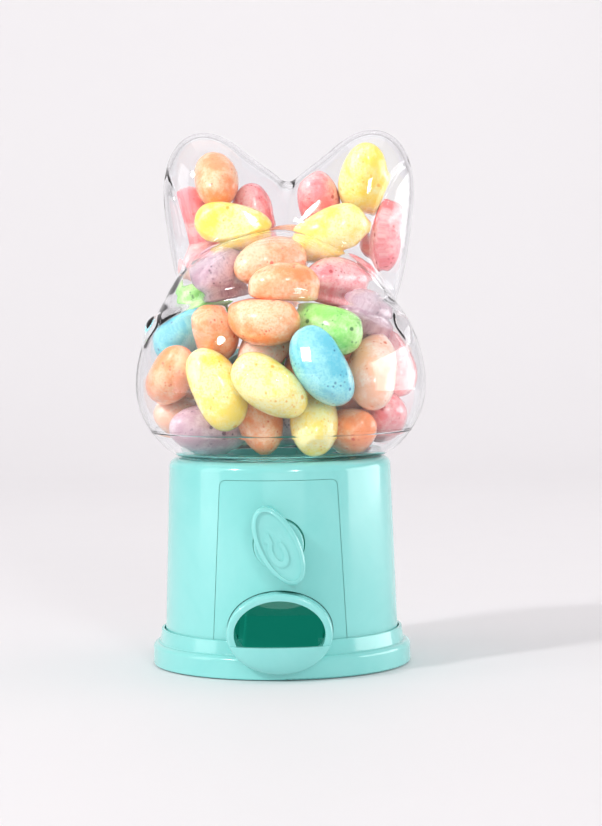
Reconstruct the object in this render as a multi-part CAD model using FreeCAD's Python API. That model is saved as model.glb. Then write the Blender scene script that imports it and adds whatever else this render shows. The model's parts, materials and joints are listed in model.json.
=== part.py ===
import FreeCAD, Part
import itertools
import math
import os
import random

from FreeCAD import Matrix, Vector

# A small toy gumball machine. A clear animal-head globe full of jelly-bean candies twists into a
# moulded base. Turning the oval knob turns a three-pocket wheel, which drops one candy at a time
# onto a ramp and out of the mouth at the front.
# Millimetres, +Z up. The front, with the knob and the mouth, faces -Y. The origin is the centre
# of the base's underside.

# ---- driving dimensions ------------------------------------------------------------------------

WALL = 1.8                    # base mouldings

FOOT_RADIUS = 34.0            # widest band of the base tray
FOOT_HEIGHT = 5.8
COLLAR_RADIUS_LOW = 32.3      # raised collar round the housing
COLLAR_RADIUS_HIGH = 31.7
COLLAR_TOP = 9.45
COLLAR_GAP = 0.3              # visible line between collar and housing

HOUSING_RADIUS_LOW = 30.95    # at the tray floor
HOUSING_RADIUS_HIGH = 29.15   # at the deck, before the shoulder is rounded
DECK_TOP = 54.4
SHOULDER = 2.5

PANEL_TOP = 50.0
PANEL_HALF_HIGH = 14.9
PANEL_HALF_LOW = 17.4
PANEL_CORNER = 1.6
PANEL_GAP = 0.12

KNOB_Z = 34.1                 # axis of knob, shaft and wheel
KNOB_LEAN = -26.6             # degrees about +Y, so the knob's top leans towards -X
KNOB_HALF_LENGTH = 10.7
KNOB_HALF_WIDTH = 5.25
KNOB_FRONT = -36.2
KNOB_BACK = -32.4
HUB_RADIUS = 6.35
HUB_BACK = -28.4
HUB_CLEARANCE = 0.3

MOUTH_Z = 11.9                # centre of the mouth's oval
MOUTH_HALF_WIDTH = 13.4
MOUTH_HALF_HEIGHT = 10.25
MOUTH_BEAD = 1.85             # width of the rim
MOUTH_FRONT = -36.0
MOUTH_REAR = -23.6
LIP_TOP = 9.0
LIP_BULGE = 3.8               # how far the lip's bowl stands in front of the rim

WHEEL_RADIUS = 16.5
WHEEL_FRONT = -15.0
WHEEL_REAR = 10.0
VANE = 1.2
VANE_COUNT = 3
SHAFT_RADIUS = 1.9
BEARING_CLEARANCE = 0.06      # radial, shaft in its two bearings
DRUM_INNER = WHEEL_RADIUS + 0.4
DRUM_WALL = 1.4
DRUM_OUTER = DRUM_INNER + DRUM_WALL
DRUM_TOP = 49.6               # flat top that the funnel sits on
DRUM_SLOT = 8.6               # half width of the slots above and below the wheel

NECK_RADIUS = 21.4
NECK_WALL = 1.2
NECK_BOTTOM = 50.4
NECK_CLEARANCE = 0.4
LUG_RADIUS = 22.7
LUG_HALF_ANGLE = 13.0
LUG_BOTTOM = 50.5
LUG_TOP = 52.2
RELEASE_ANGLE = 40.0          # turn from locked to free

GLOBE_WALL = 1.3
GLOBE_YAW = -5.5              # degrees about +Z: how the head sits when locked
GLOBE_BOTTOM = DECK_TOP + 0.1
SEAM_Z = 61.0
CROWN_Z = 100.0               # above this the shell is two nodes, so its collision leaves the ears apart

CANDY_LENGTH = 19.8
CANDY_RADIUS = 5.9
CANDY_SPACING = 0.05          # least gap between candies
WALL_SPACING = 0.45           # least gap from a candy to the globe's wall

BOSS_RADIUS = 2.2
PILOT_RADIUS = 0.9
SCREW_HEAD = 1.9

# ---- shape helpers -----------------------------------------------------------------------------


def outline(corners):
    """Closed wire through (x, z, radius) corners, each rounded by its radius."""
    edges, ends = [], []
    count = len(corners)
    points = [Vector(x, 0, z) for x, z, _ in corners]
    for i in range(count):
        here = points[i]
        before = points[i - 1]
        after = points[(i + 1) % count]
        radius = corners[i][2]
        if radius == 0:
            ends.append((here, here, None))
            continue
        to_before = (before - here).normalize()
        to_after = (after - here).normalize()
        half = to_before.getAngle(to_after) / 2
        reach = radius / math.tan(half)
        towards_centre = (to_before + to_after).normalize()
        middle = here + towards_centre * (radius / math.sin(half) - radius)
        ends.append((here + to_before * reach, here + to_after * reach, middle))
    for i in range(count):
        start, finish, middle = ends[i]
        if middle is not None:
            edges.append(Part.Arc(start, middle, finish).toShape())
        following = ends[(i + 1) % count][0]
        if (following - finish).Length > 1e-6:
            edges.append(Part.LineSegment(finish, following).toShape())
    return Part.Wire(edges)


def turned(corners):
    """Solid of revolution about Z from (radius, z, corner radius) points."""
    face = Part.Face(outline(corners))
    return face.revolve(Vector(0, 0, 0), Vector(0, 0, 1), 360)


def box(x0, x1, y0, y1, z0, z1):
    return Part.makeBox(x1 - x0, y1 - y0, z1 - z0, Vector(x0, y0, z0))


def rod_y(radius, y0, y1, x=0.0, z=KNOB_Z):
    """Round bar along Y."""
    return Part.makeCylinder(radius, y1 - y0, Vector(x, y0, z), Vector(0, 1, 0))


def rod_z(radius, z0, z1, x=0.0, y=0.0):
    """Round bar along Z."""
    return Part.makeCylinder(radius, z1 - z0, Vector(x, y, z0), Vector(0, 0, 1))


def oval_y(half_width, half_height, y0, y1, z):
    """Oval bar along Y, centred on x = 0."""
    bar = Part.makeCylinder(1.0, y1 - y0)
    stretch = Matrix()
    stretch.scale(Vector(half_width, half_height, 1))
    bar = bar.transformGeometry(stretch)
    bar.rotate(Vector(0, 0, 0), Vector(1, 0, 0), -90)
    bar.translate(Vector(0, y0, z))
    return bar


def sector(r0, r1, z0, z1, start, finish):
    """Block between two radii and two angles (degrees from +X)."""
    span = finish - start
    outer = Part.makeCylinder(r1, z1 - z0, Vector(0, 0, z0), Vector(0, 0, 1), span)
    inner = Part.makeCylinder(r0, z1 - z0, Vector(0, 0, z0), Vector(0, 0, 1))
    block = outer.cut(inner)
    block.rotate(Vector(0, 0, 0), Vector(0, 0, 1), start)
    return block


def stretched_ball(centre, halves, low=-90, high=90, lean=0.0, poles_along_y=False):
    """Ellipsoid, or its part between two latitudes, leaning by degrees about +Y.

    Its poles and seam, which later cuts should miss, can be turned to lie along Y and on top.
    """
    ball = Part.makeSphere(1.0, Vector(0, 0, 0), Vector(0, 0, 1), low, high, 360)
    if poles_along_y:
        ball.rotate(Vector(0, 0, 0), Vector(1, 0, 0), -90)
        ball.rotate(Vector(0, 0, 0), Vector(0, 1, 0), -90)
    scale = Matrix()
    scale.scale(Vector(*halves))
    ball = ball.transformGeometry(scale)
    ball.rotate(Vector(0, 0, 0), Vector(0, 1, 0), lean)
    ball.translate(Vector(*centre))
    return ball


def screw(tip, direction, length, head_radius=SCREW_HEAD, head_height=1.2):
    """Pan-head screw: its shank ends at tip, and direction runs from the head to the tip."""
    along = Vector(*direction).normalize()
    tip = Vector(*tip)
    under_head = tip - along * length
    rounding = 0.35 * head_height
    body = turned([
        (0, -head_height, 0),
        (head_radius, -head_height, rounding),
        (head_radius, 0, 0),
        (PILOT_RADIUS, 0, 0),
        (PILOT_RADIUS, length, 0.3),
        (0, length, 0),
    ])
    slot = Part.makeBox(2.4, 0.5, 1.0, Vector(-1.2, -0.25, -head_height - 0.5))
    cross = slot.fuse(Part.makeBox(0.5, 2.4, 1.0, Vector(-0.25, -1.2, -head_height - 0.5)))
    body = body.cut(cross)
    body.Placement = FreeCAD.Placement(under_head, FreeCAD.Rotation(Vector(0, 0, 1), along))
    return body


def edges_at(solid, y):
    """Edges of a solid that lie wholly on the plane of constant y."""
    def flat(edge):
        return abs(edge.BoundBox.YMin - y) < 0.01 and abs(edge.BoundBox.YMax - y) < 0.01

    return [edge for edge in solid.Edges if flat(edge)]


# ---- base --------------------------------------------------------------------------------------


def housing_radius(z):
    share = (z - WALL) / (DECK_TOP - WALL)
    return HOUSING_RADIUS_LOW + share * (HOUSING_RADIUS_HIGH - HOUSING_RADIUS_LOW)


def housing_body(inset, top, corner):
    """Tapered plug: the housing's outside shape, shrunk by inset."""
    return turned([
        (0, WALL, 0),
        (housing_radius(WALL) - inset, WALL, 0),
        (housing_radius(top) - inset, top, corner),
        (0, top, 0),
    ])


def panel_block(margin, y0, y1):
    """Block with the front panel's outline, grown by margin."""
    low = WALL - 1
    corners = [
        (-PANEL_HALF_LOW - margin, low, 0),
        (PANEL_HALF_LOW + margin, low, 0),
        (PANEL_HALF_HIGH + margin, PANEL_TOP + margin, PANEL_CORNER + margin),
        (-PANEL_HALF_HIGH - margin, PANEL_TOP + margin, PANEL_CORNER + margin),
    ]
    block = Part.Face(outline(corners)).extrude(Vector(0, y1 - y0, 0))
    block.translate(Vector(0, y0, 0))
    return block


TRAY_BOSSES = [(sx * 20.3, sy * 17.0) for sx in (-1, 1) for sy in (-1, 1)]
DECK_BOSSES = [(sx * x, y) for sx in (-1, 1) for x, y in ((23.35, -10.0), (25.1, 4.0))]
LUG_ANGLES = [GLOBE_YAW + 30.0 + 120.0 * k for k in range(3)]
HEAD_RECESS = 1.0
EAR_Z = 40.4
EAR_THICKNESS = 1.6


def make_base_tray():
    edge = 0.5
    tray = turned([
        (0, 0, 0),
        (FOOT_RADIUS, 0, edge),
        (FOOT_RADIUS, FOOT_HEIGHT, 1.3),
        (COLLAR_RADIUS_LOW, FOOT_HEIGHT, 0.3),
        (COLLAR_RADIUS_HIGH, COLLAR_TOP, 0.25),
        (housing_radius(COLLAR_TOP) + COLLAR_GAP, COLLAR_TOP, 0.15),
        (housing_radius(WALL) + 0.1, WALL, 0),
        (0, WALL, 0),
    ])
    tray = tray.cut(oval_y(MOUTH_HALF_WIDTH + 0.15, MOUTH_HALF_HEIGHT + 0.15, -40, -20, MOUTH_Z))
    for x, y in TRAY_BOSSES:
        tray = tray.cut(rod_z(SCREW_HEAD + 0.3, -1, HEAD_RECESS, x, y))
        tray = tray.cut(rod_z(PILOT_RADIUS + 0.2, -1, WALL + 1, x, y))
    return tray


def make_housing():
    shell = housing_body(0, DECK_TOP, SHOULDER).cut(housing_body(WALL, DECK_TOP - WALL, 1.0))
    for x, y in TRAY_BOSSES:
        shell = shell.fuse(rod_z(2.6, WALL, 14, x, y))
    for x, y in DECK_BOSSES:
        shell = shell.fuse(rod_z(BOSS_RADIUS, EAR_Z + EAR_THICKNESS, DECK_TOP - WALL, x, y))
    shell = shell.common(housing_body(0, DECK_TOP, SHOULDER))
    shell = shell.cut(rod_z(NECK_RADIUS + NECK_CLEARANCE, 50, 60))
    stop_width = 5.0
    for angle in LUG_ANGLES:
        free = angle + RELEASE_ANGLE
        shell = shell.cut(sector(
            NECK_RADIUS, LUG_RADIUS + 0.4, 50, 60, free - LUG_HALF_ANGLE - 2, free + LUG_HALF_ANGLE + 2
        ))
        locked_stop = angle - LUG_HALF_ANGLE - 1
        free_stop = free + LUG_HALF_ANGLE + 1
        for start in (locked_stop - stop_width, free_stop):
            shell = shell.fuse(sector(
                NECK_RADIUS + NECK_CLEARANCE, LUG_RADIUS + 0.4, LUG_BOTTOM, DECK_TOP - WALL / 2,
                start, start + stop_width,
            ))
    for x, y in TRAY_BOSSES:
        shell = shell.cut(rod_z(PILOT_RADIUS + 0.02, 0, 11, x, y))
    for x, y in DECK_BOSSES:
        shell = shell.cut(rod_z(PILOT_RADIUS + 0.02, EAR_Z, 49, x, y))
    shell = shell.cut(panel_block(PANEL_GAP, -40, -15))
    return shell.removeSplitter()


def make_front_panel():
    skin = housing_body(0, DECK_TOP, SHOULDER).cut(housing_body(WALL, DECK_TOP - WALL, 1.0))
    panel = skin.common(panel_block(0, -40, -15))
    keeper_thickness = 1.2
    keeper = housing_body(WALL + 0.1, DECK_TOP - WALL - 0.1, 0).cut(
        housing_body(WALL + keeper_thickness, DECK_TOP - WALL - 0.1, 0)
    )
    keeper = keeper.common(panel_block(1.6, -40, -15)).cut(panel_block(-1.4, -40, -15))
    root = housing_body(WALL - 0.1, DECK_TOP - WALL, 0).cut(
        housing_body(WALL + keeper_thickness, DECK_TOP - WALL - 0.1, 0)
    )
    root = root.common(panel_block(-0.2, -40, -15)).cut(panel_block(-1.4, -40, -15))
    panel = panel.fuse(keeper).fuse(root)
    panel = panel.common(box(-30, 30, -40, 0, WALL, PANEL_TOP + 1.5))
    panel = panel.cut(oval_y(MOUTH_HALF_WIDTH + 0.15, MOUTH_HALF_HEIGHT + 0.15, -40, -20, MOUTH_Z))
    panel = panel.cut(rod_y(HUB_RADIUS + HUB_CLEARANCE, -40, -20))
    return panel.removeSplitter()


def make_chute_mouth():
    """Oval rim with a bowl-shaped lip across its lower half and a flange inside the panel."""
    bowl_back = MOUTH_FRONT + 0.9
    bore_width = MOUTH_HALF_WIDTH - MOUTH_BEAD
    bore_height = MOUTH_HALF_HEIGHT - MOUTH_BEAD
    bore = oval_y(bore_width, bore_height, -50, 0, MOUTH_Z)

    rim = oval_y(MOUTH_HALF_WIDTH, MOUTH_HALF_HEIGHT, MOUTH_FRONT, MOUTH_REAR, MOUTH_Z)
    rim = rim.makeFillet(0.85, edges_at(rim, MOUTH_FRONT))
    flange = oval_y(MOUTH_HALF_WIDTH + 0.9, MOUTH_HALF_HEIGHT + 0.9, MOUTH_REAR - 1, MOUTH_REAR, MOUTH_Z)
    flange = flange.common(box(-20, 20, -40, 0, WALL + 0.1, 40))
    lip_space = box(-20, 20, -50, bowl_back, -5, LIP_TOP)
    tube = rim.fuse(flange).cut(bore).cut(lip_space)
    depth = LIP_BULGE + bowl_back - MOUTH_FRONT
    centre = (0, bowl_back, MOUTH_Z)
    bowl = stretched_ball(centre, (MOUTH_HALF_WIDTH, depth, MOUTH_HALF_HEIGHT), poles_along_y=True)
    hollow = stretched_ball(centre, (bore_width, depth - 1.4, bore_height), poles_along_y=True)
    return tube.fuse(bowl.cut(hollow).common(lip_space))


RAMP_FRONT = MOUTH_REAR + 0.2
RAMP_REAR = WHEEL_REAR + 2.0
RAMP_FLOOR_FRONT = 4.0
RAMP_FLOOR_REAR = 10.6
RAMP_HALF_WIDTH = 9.6
RAMP_WALL = 1.2


def make_chute_ramp():
    """Sloping channel from under the wheel to the mouth, on two short feet."""
    length = RAMP_REAR - RAMP_FRONT

    def slab(x0, x1, below, above):
        side = Part.makePolygon([
            Vector(x0, RAMP_FRONT, RAMP_FLOOR_FRONT - below),
            Vector(x0, RAMP_REAR, RAMP_FLOOR_REAR - below),
            Vector(x0, RAMP_REAR, RAMP_FLOOR_REAR + above),
            Vector(x0, RAMP_FRONT, RAMP_FLOOR_FRONT + above),
            Vector(x0, RAMP_FRONT, RAMP_FLOOR_FRONT - below),
        ])
        return Part.Face(side).extrude(Vector(x1 - x0, 0, 0))

    outer = RAMP_HALF_WIDTH + RAMP_WALL
    ramp = slab(-outer, outer, RAMP_WALL, 0)
    for x0 in (-outer, RAMP_HALF_WIDTH):
        ramp = ramp.fuse(slab(x0, x0 + RAMP_WALL, RAMP_WALL, 5.2))
    back_floor = RAMP_FLOOR_REAR
    ramp = ramp.fuse(box(-outer, outer, RAMP_REAR - RAMP_WALL, RAMP_REAR, back_floor - 1, back_floor + 5.2))
    for share in (0.3, 0.92):
        y = RAMP_FRONT + share * length
        z = RAMP_FLOOR_FRONT + share * (RAMP_FLOOR_REAR - RAMP_FLOOR_FRONT) - 0.5
        for x in (-RAMP_HALF_WIDTH, RAMP_HALF_WIDTH):
            ramp = ramp.fuse(box(x - 1, x + 1, y - 1, y + 1, WALL, z))
    return ramp.removeSplitter()


# ---- mechanism ---------------------------------------------------------------------------------

FUNNEL_RADIUS = NECK_RADIUS - NECK_WALL - 0.3
FUNNEL_THICKNESS = 1.2
FUNNEL_RIM_Z = 53.0
FUNNEL_SLOT_Z = 50.9
SLOT_FRONT = WHEEL_FRONT - 0.4
SLOT_REAR = WHEEL_REAR + 0.4
BEARING_X = 20.4


def make_hopper_funnel():
    """Shallow dish inside the globe's neck, with a slot over the wheel."""
    dish = turned([
        (DRUM_SLOT, FUNNEL_SLOT_Z - FUNNEL_THICKNESS, 0),
        (FUNNEL_RADIUS, FUNNEL_RIM_Z - FUNNEL_THICKNESS, 0.4),
        (FUNNEL_RADIUS, FUNNEL_RIM_Z, 0.3),
        (DRUM_SLOT, FUNNEL_SLOT_Z, 0),
    ])
    middle = turned([
        (0, FUNNEL_SLOT_Z - FUNNEL_THICKNESS, 0),
        (DRUM_SLOT, FUNNEL_SLOT_Z - FUNNEL_THICKNESS, 0),
        (DRUM_SLOT, FUNNEL_SLOT_Z, 0),
        (0, FUNNEL_SLOT_Z, 0),
    ])
    side = DRUM_SLOT + FUNNEL_THICKNESS
    front, rear = SLOT_FRONT - FUNNEL_THICKNESS, SLOT_REAR + FUNNEL_THICKNESS
    skirt = box(-side, side, front, rear, DRUM_TOP, FUNNEL_RIM_Z - 1.3)
    keep = turned([
        (0, DRUM_TOP, 0),
        (FUNNEL_RADIUS, DRUM_TOP, 0),
        (FUNNEL_RADIUS, FUNNEL_RIM_Z - FUNNEL_THICKNESS / 2, 0),
        (0, FUNNEL_SLOT_Z - 2.3, 0),
    ])
    funnel = dish.fuse(middle).fuse(skirt.common(keep))
    slot = box(-DRUM_SLOT, DRUM_SLOT, SLOT_FRONT, SLOT_REAR, 40, 60)
    return funnel.cut(slot).removeSplitter()


def make_wheel_drum():
    """Sleeve round the wheel, open above and below, with the front bearing and four ears."""
    front = SLOT_FRONT - DRUM_WALL
    drum = rod_y(DRUM_OUTER, front, SLOT_REAR)
    drum = drum.fuse(rod_y(4.0, front - 3.2, front))
    ear_top = EAR_Z + EAR_THICKNESS
    for x, y in DECK_BOSSES:
        inner = math.copysign(14.0, x)
        ear = box(min(inner, x), max(inner, x), y - BOSS_RADIUS, y + BOSS_RADIUS, EAR_Z, ear_top)
        ear = ear.fuse(rod_z(BOSS_RADIUS, EAR_Z, ear_top, x, y))
        drum = drum.fuse(ear.cut(rod_z(PILOT_RADIUS + 0.2, 30, 50, x, y)))
    for x in (-BEARING_X, BEARING_X):
        drum = drum.fuse(rod_y(2.4, 3.0, SLOT_REAR, x))
    drum = drum.cut(rod_y(DRUM_INNER, SLOT_FRONT, SLOT_REAR + 1))
    for x in (-BEARING_X, BEARING_X):
        drum = drum.cut(rod_y(PILOT_RADIUS + 0.02, 4.0, SLOT_REAR + 1, x))
    drum = drum.cut(rod_y(SHAFT_RADIUS + BEARING_CLEARANCE, -30, SLOT_FRONT + 1))
    drum = drum.cut(box(-40, 40, -40, 40, DRUM_TOP, 60))
    drum = drum.cut(box(-DRUM_SLOT, DRUM_SLOT, SLOT_FRONT, SLOT_REAR + 1, KNOB_Z + 8, 60))
    drum = drum.cut(box(-DRUM_SLOT, DRUM_SLOT, SLOT_FRONT, SLOT_REAR + 1, 0, KNOB_Z - 8))
    return drum.removeSplitter()


PLATE_REAR = SLOT_REAR + 1.5
BEARING_REAR = PLATE_REAR + 3.2


def make_rear_bearing():
    """Plate that closes the drum's rear and carries the shaft's back end."""
    plate = rod_y(DRUM_OUTER, SLOT_REAR, PLATE_REAR)
    plate = plate.cut(box(-DRUM_SLOT, DRUM_SLOT, 0, 40, 0, KNOB_Z - 8))
    for x in (-BEARING_X, BEARING_X):
        plate = plate.fuse(rod_y(2.4, SLOT_REAR, PLATE_REAR, x))
    plate = plate.fuse(rod_y(4.0, SLOT_REAR, BEARING_REAR))
    for x in (-BEARING_X, BEARING_X):
        plate = plate.cut(rod_y(PILOT_RADIUS + 0.2, 0, 40, x))
    plate = plate.cut(rod_y(SHAFT_RADIUS + BEARING_CLEARANCE, 0, 40))
    plate = plate.cut(box(-40, 40, 0, 40, DRUM_TOP, 60))
    return plate.removeSplitter()


def make_metering_wheel():
    """Three vanes on a hub; a pocket faces straight up at rest."""
    hub_radius = SHAFT_RADIUS + 1.0
    wheel = rod_y(hub_radius, WHEEL_FRONT, WHEEL_REAR)
    for k in range(VANE_COUNT):
        vane = box(-VANE / 2, VANE / 2, WHEEL_FRONT, WHEEL_REAR, hub_radius - 0.5, WHEEL_RADIUS - 0.2)
        tip = rod_y(VANE / 2, WHEEL_FRONT, WHEEL_REAR, z=WHEEL_RADIUS - VANE / 2)
        vane = vane.common(box(-5, 5, -50, 50, 0, WHEEL_RADIUS - VANE / 2)).fuse(tip)
        vane.rotate(Vector(0, 0, 0), Vector(0, 1, 0), 60 + 120 * k)
        vane.translate(Vector(0, 0, KNOB_Z))
        wheel = wheel.fuse(vane)
    return wheel.cut(shaft_bar(0.02)).removeSplitter()


SHAFT_FRONT = -31.4
SHAFT_REAR = BEARING_REAR + 0.2
SHAFT_FLAT = 1.35             # distance from axis to the flat that keys knob and wheel


def shaft_bar(extra):
    """The shaft's outside, grown by extra: round at the bearings, with a flat where parts key on."""
    bar = rod_y(SHAFT_RADIUS + extra, SHAFT_FRONT - extra, SHAFT_REAR)
    for y0, y1 in ((SHAFT_FRONT - 1, HUB_BACK), (WHEEL_FRONT, WHEEL_REAR)):
        bar = bar.cut(box(-4, 4, y0, y1, KNOB_Z + SHAFT_FLAT + extra, KNOB_Z + 4))
    return bar


SCREW_DEPTH = 7.0


def make_drive_shaft():
    return shaft_bar(0).cut(rod_y(PILOT_RADIUS + 0.02, SHAFT_REAR - SCREW_DEPTH - 0.5, SHAFT_REAR + 1))


def make_shaft_washer():
    washer = rod_y(3.4, SHAFT_REAR, SHAFT_REAR + 0.6)
    return washer.cut(rod_y(PILOT_RADIUS + 0.1, SHAFT_REAR - 1, SHAFT_REAR + 2))


def make_shaft_screw():
    return screw((0, SHAFT_REAR - SCREW_DEPTH, KNOB_Z), (0, -1, 0), SCREW_DEPTH + 0.6)


# ---- knob --------------------------------------------------------------------------------------


def make_arrow():
    """Raised curved arrow, clockwise from its thin tail, on the knob's face before the knob leans."""
    outer = oval_y(2.4, 3.8, -1, 0, -1.5)
    outer.translate(Vector(-0.9, 0, 0))
    inner = oval_y(1.15, 2.5, -2, 1, -1.2)
    inner.translate(Vector(-0.75, 0, 0))
    bow = outer.cut(inner).cut(box(-1.2, 3, -2, 2, 0.7, 6)).cut(box(-5, 5, -2, 2, 2.4, 6))
    head_corners = [(-3.1, 2.5, 0.15), (-0.9, 0.9, 0.15), (-0.8, 4.5, 0.2)]
    head = Part.Face(outline(head_corners)).extrude(Vector(0, -1, 0))
    return bow.fuse(head)


def make_knob():
    """Oval thumb plate with a raised rim and arrow, on a round hub."""
    rim, dish_depth, arrow_height = 1.15, 0.55, 0.35
    plate = oval_y(KNOB_HALF_WIDTH, KNOB_HALF_LENGTH, KNOB_FRONT, KNOB_BACK, 0)
    plate = plate.makeFillet(1.1, edges_at(plate, KNOB_FRONT))
    plate = plate.makeFillet(0.6, edges_at(plate, KNOB_BACK))
    face = KNOB_FRONT + dish_depth
    plate = plate.cut(oval_y(KNOB_HALF_WIDTH - rim, KNOB_HALF_LENGTH - rim, KNOB_FRONT - 1, face, 0))
    arrow = make_arrow()
    arrow.translate(Vector(0, face + 0.4, 0))
    arrow = arrow.common(box(-9, 9, face - arrow_height, face + 0.3, -9, 9))
    plate = plate.fuse(arrow)
    plate.rotate(Vector(0, 0, 0), Vector(0, 1, 0), KNOB_LEAN)
    plate.translate(Vector(0, 0, KNOB_Z))
    hub = rod_y(HUB_RADIUS, KNOB_BACK - 0.6, HUB_BACK)
    hub = hub.makeFillet(0.5, edges_at(hub, KNOB_BACK - 0.6))
    return plate.fuse(hub).cut(shaft_bar(0.02)).removeSplitter()


# ---- globe -------------------------------------------------------------------------------------

# Each mass is (centre, half sizes, lean about +Y in degrees). The cheeks are two half ellipsoids
# that meet at their widest level. The ears, each a root and a tip, stand a little to the right.
CHEEK_X = 0.5
CHEEK_Z = 73.0
CHEEK_HALVES = (38.3, 34.0)
CHEEK_UP = 36.0
CHEEK_DOWN = 27.0
FOREHEAD = ((0, 0, 90.5), (30.0, 27.0, 24.0), 0)
EAR_X = 2.3
EAR_Y = 7.5
MASSES = [FOREHEAD]
for side in (-1, 1):
    MASSES.append(((EAR_X + side * 9.4, EAR_Y, 103.0), (20.5, 14.0, 31.0), side * 20.2))
    MASSES.append(((EAR_X + side * 15.9, EAR_Y, 113.9), (15.4, 13.5, 27.4), side * 21.4))


def head_solid(inset, bottom):
    """The head's outside shrunk by inset, cut flat at the bottom."""
    wide, deep = CHEEK_HALVES
    middle = (CHEEK_X, 0, CHEEK_Z)
    up = stretched_ball(middle, (wide - inset, deep - inset, CHEEK_UP - inset), 0, 90)
    down = stretched_ball(middle, (wide - inset, deep - inset, CHEEK_DOWN - inset), -90, 0)
    head = up.fuse(down.common(box(-50, 50, -50, 50, bottom, CHEEK_Z)))
    for centre, halves, lean in MASSES:
        head = head.fuse(stretched_ball(centre, [h - inset for h in halves], lean=lean))
    return head


def eye_bump(side):
    bump = stretched_ball((0, 0, 0), (2.6, 3.4, 4.2))
    bump.translate(Vector(33.2, 0, 87.2))
    bump.rotate(Vector(0, 0, 0), Vector(0, 0, 1), -90 + side * 77)
    bump.translate(Vector(CHEEK_X, 0, 0))
    return bump


def make_globe():
    """The clear head: a lower dish, a shell above the moulding seam, and the shell's two crowns."""
    outer = head_solid(0, GLOBE_BOTTOM)
    base_edges = [e for e in outer.Edges if e.BoundBox.ZMax < GLOBE_BOTTOM + 0.01]
    outer = outer.makeFillet(2.4, base_edges)
    for side in (-1, 1):
        outer = outer.fuse(eye_bump(side))
    outer = outer.fuse(stretched_ball((CHEEK_X, -33.6, 74.8), (5.8, 2.0, 3.3)))
    inner = head_solid(GLOBE_WALL, GLOBE_BOTTOM + GLOBE_WALL)
    skin = outer.cut(inner)
    shell = skin.common(box(-60, 60, -60, 60, SEAM_Z, CROWN_Z))
    crown_left = skin.common(box(-60, 0, -60, 60, CROWN_Z, 160))
    crown_right = skin.common(box(0, 60, -60, 60, CROWN_Z, 160))
    dish = skin.common(box(-60, 60, -60, 60, 40, SEAM_Z))
    neck = rod_z(NECK_RADIUS, NECK_BOTTOM, GLOBE_BOTTOM + 0.6)
    for angle in LUG_ANGLES:
        neck = neck.fuse(sector(
            NECK_RADIUS - 0.5, LUG_RADIUS, LUG_BOTTOM, LUG_TOP,
            angle - GLOBE_YAW - LUG_HALF_ANGLE, angle - GLOBE_YAW + LUG_HALF_ANGLE,
        ))
    dish = dish.fuse(neck).cut(rod_z(NECK_RADIUS - NECK_WALL, 40, GLOBE_BOTTOM + GLOBE_WALL + 1))
    pieces = {
        "globe_dish": dish,
        "globe_shell": shell,
        "globe_crown_left": crown_left,
        "globe_crown_right": crown_right,
    }
    for name, piece in pieces.items():
        pieces[name] = piece.removeSplitter()
        pieces[name].rotate(Vector(0, 0, 0), Vector(0, 0, 1), GLOBE_YAW)
    return pieces


# ---- candies -----------------------------------------------------------------------------------


class Candy:
    """A jelly bean, treated as a round-ended bar while it settles."""

    def __init__(self, colour, centre, along, size, firmness):
        self.colour = colour
        self.radius = CANDY_RADIUS * size
        self.length = CANDY_LENGTH * size
        self.firmness = firmness
        middle = Vector(*centre)
        reach = Vector(*along).normalize() * (self.length / 2 - self.radius)
        self.ends = [middle - reach, middle + reach]
        self.homes = list(self.ends)

    def centre(self):
        return (self.ends[0] + self.ends[1]) * 0.5

    def move(self, share, step):
        """Move the point at share of the way between the ends, carrying each end by its part."""
        weight = (1 - share) ** 2 + share**2
        self.ends[0] = self.ends[0] + step * ((1 - share) / weight)
        self.ends[1] = self.ends[1] + step * (share / weight)
        self.restore_length()

    def restore_length(self):
        middle = self.centre()
        reach = (self.ends[1] - self.ends[0]).normalize() * (self.length / 2 - self.radius)
        self.ends = [middle - reach, middle + reach]


def nearest_shares(first, second):
    """Where two straight bars come closest, as shares of their lengths."""
    u = first.ends[1] - first.ends[0]
    v = second.ends[1] - second.ends[0]
    w = first.ends[0] - second.ends[0]
    a, b, c, d, e = u.dot(u), u.dot(v), v.dot(v), u.dot(w), v.dot(w)
    spread = a * c - b * b
    s = min(1, max(0, (b * e - c * d) / spread)) if spread > 1e-9 else 0.5
    t = min(1, max(0, (b * s + e) / c))
    s = min(1, max(0, (b * t - d) / a))
    return s, t


def bar_gap(first, second):
    """(clear distance, direction from second to first, shares) of two candies."""
    s, t = nearest_shares(first, second)
    p = first.ends[0] * (1 - s) + first.ends[1] * s
    q = second.ends[0] * (1 - t) + second.ends[1] * t
    apart = p - q
    distance = max(apart.Length, 1e-6)
    return distance - first.radius - second.radius, apart * (1 / distance), s, t


def cavity():
    """The globe's inside as (centre, half sizes, lean, lowest z) ellipsoids, in the row's frame."""
    wide, deep = CHEEK_HALVES
    inset = GLOBE_WALL + WALL_SPACING
    spaces = [((CHEEK_X, 0, CHEEK_Z), (wide, deep, CHEEK_UP), 0)] + MASSES
    return [(Vector(*c), [h - inset for h in halves], lean) for c, halves, lean in spaces]


def turn(vector, axis, degrees):
    return FreeCAD.Rotation(axis, degrees).multVec(vector)


UP = Vector(0, 0, 1)
ACROSS = Vector(0, 1, 0)


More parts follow.
